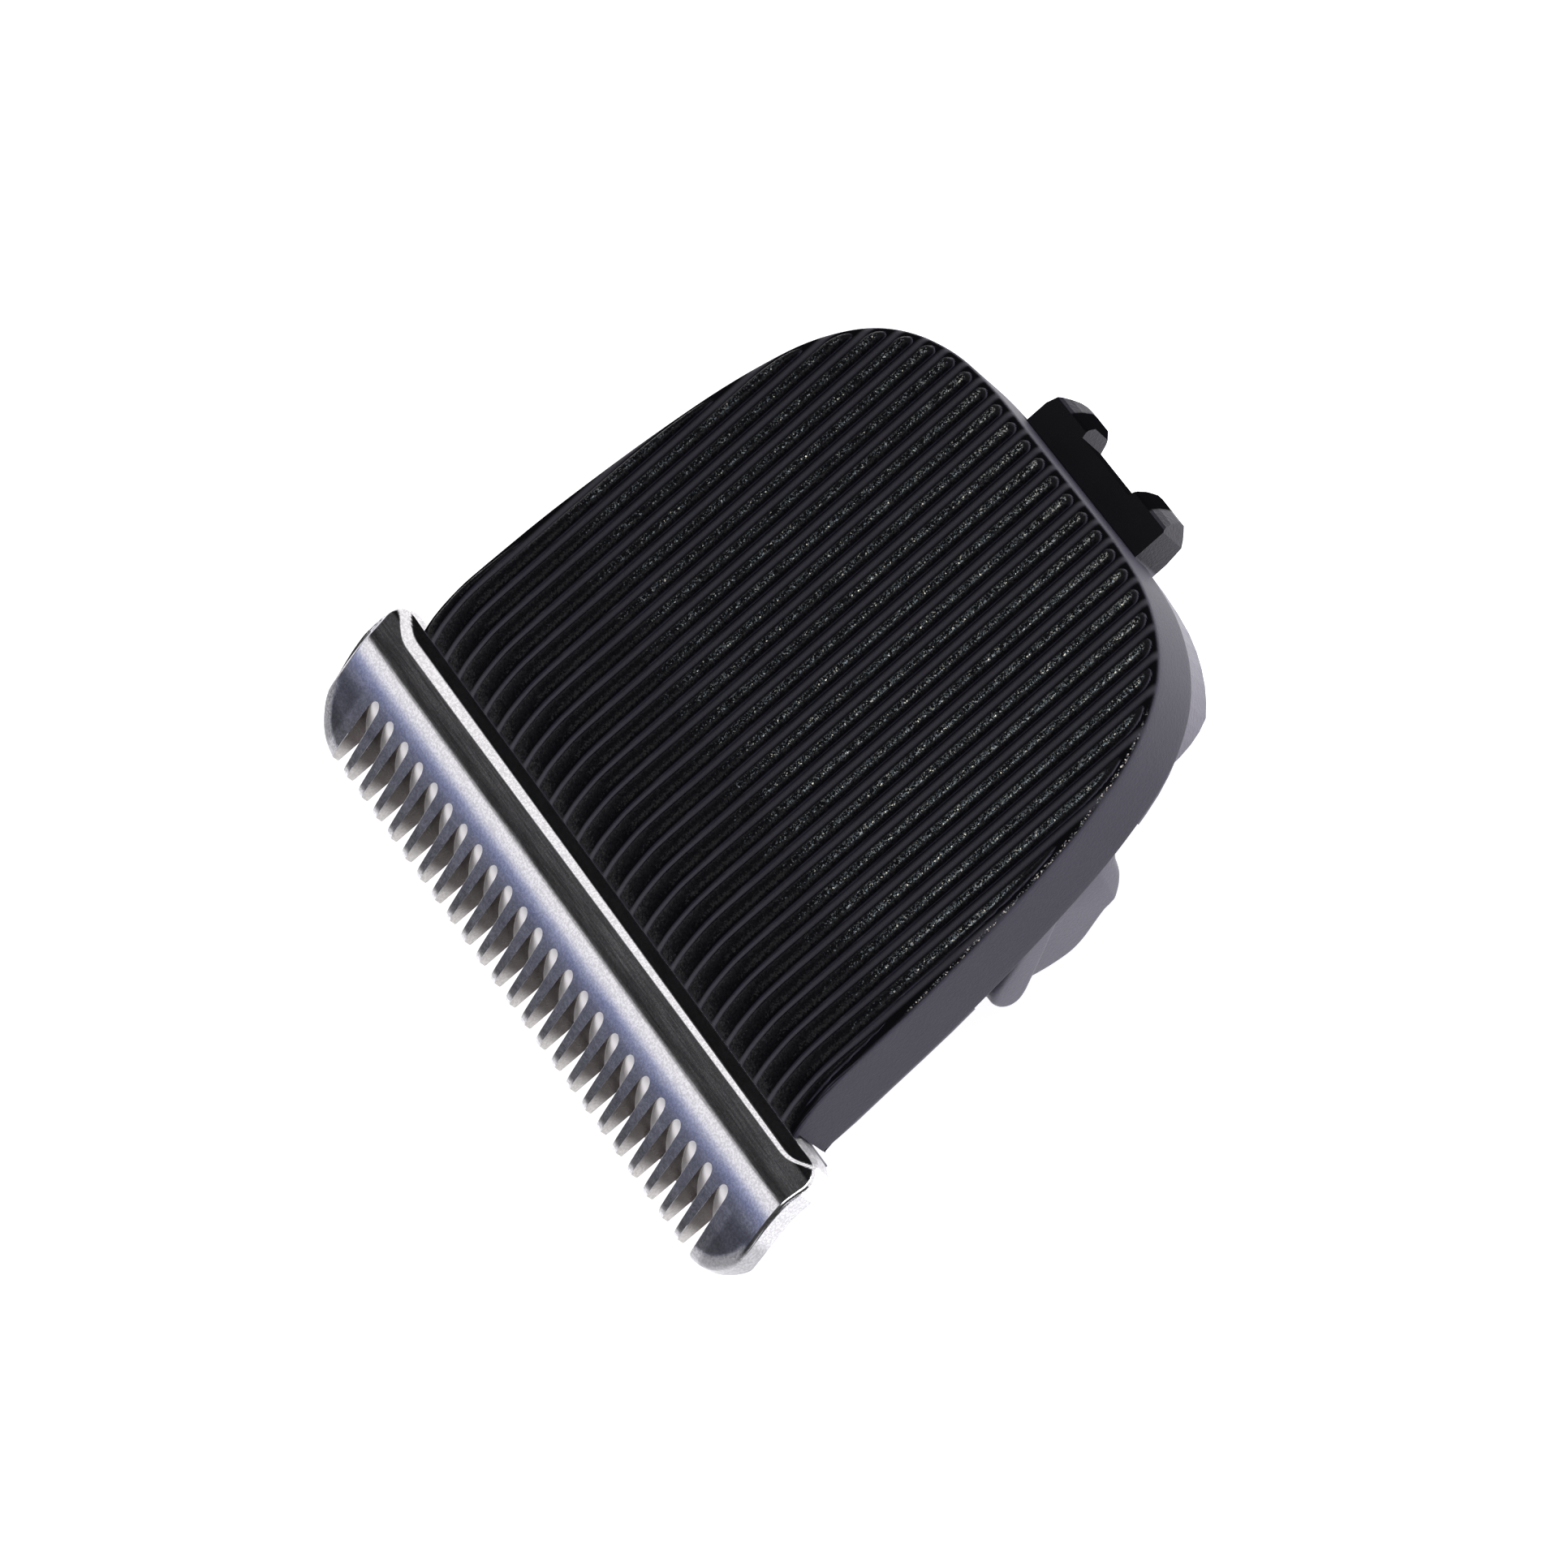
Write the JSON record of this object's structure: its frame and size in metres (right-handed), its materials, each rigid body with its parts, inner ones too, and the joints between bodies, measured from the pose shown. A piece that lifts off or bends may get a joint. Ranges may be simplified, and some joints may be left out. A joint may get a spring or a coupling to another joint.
{
  "type": "body groomer cutting head",
  "caption": "Detachable cutting head of a body groomer: steel comb with a reciprocating cutter under a ribbed plastic cover, side snap arms and a rear tongue.",
  "frame": {"origin": "bottom centre of the bounding box: on the plane of the collar rim under the head, on the symmetry plane, midway between the comb tips and the end of the rear tongue", "axes": "+Z out of the ribbed face, +X along the comb, +Y from the comb teeth towards the rear tongue"},
  "size_m": [0.04, 0.0398, 0.0108],
  "materials": {
    "cover_plastic": "black moulded plastic with a fine sparkle grain on the ribs and a leather-grain side wall",
    "frame_plastic": "black moulded plastic, satin, fine leather grain",
    "comb_steel": "polished stainless steel, lightly scratched, rough stamped edges",
    "cutter_steel": "ground hardened steel",
    "holder_plastic": "dark grey moulded plastic",
    "slide_plastic": "natural low-friction plastic",
    "spring_steel": "rolled spring steel",
    "fastener_steel": "zinc plated steel",
    "seal_rubber": "black moulded rubber"
  },
  "bodies": {
    "head": {"front_cover": "cover_plastic", "base_frame": "frame_plastic", "fixed_comb_blade": "comb_steel", "tension_spring": "spring_steel", "blade_screw_left": "fastener_steel", "blade_screw_right": "fastener_steel", "spring_screw_left": "fastener_steel", "spring_screw_right": "fastener_steel", "cover_screw_left": "fastener_steel", "cover_screw_right": "fastener_steel", "drive_seal": "seal_rubber", "hair_wiper": "seal_rubber"},
    "cutter": {"moving_blade": "cutter_steel", "cutter_holder": "holder_plastic", "drive_follower": "slide_plastic", "cutter_rivet_left": "fastener_steel", "cutter_rivet_right": "fastener_steel", "slide_pad_left": "slide_plastic", "slide_pad_right": "slide_plastic"},
    "snap_left": {"snap_arm_left": "frame_plastic"},
    "snap_right": {"snap_arm_right": "frame_plastic"}
  },
  "joints": [
    {"name": "cutter_slide", "type": "slide", "parent": "head", "child": "cutter", "axis": [1, 0, 0], "range_m": [-0.0012, 0.0012]},
    {"name": "snap_left_flex", "type": "hinge", "parent": "head", "child": "snap_left", "pos_m": [-0.0144, 0.00345, 0.0055], "axis": [0, -1, 0], "range_deg": [0, 6]},
    {"name": "snap_right_flex", "type": "hinge", "parent": "head", "child": "snap_right", "pos_m": [0.0144, 0.00345, 0.0055], "axis": [0, 1, 0], "range_deg": [0, 6]}
  ]
}
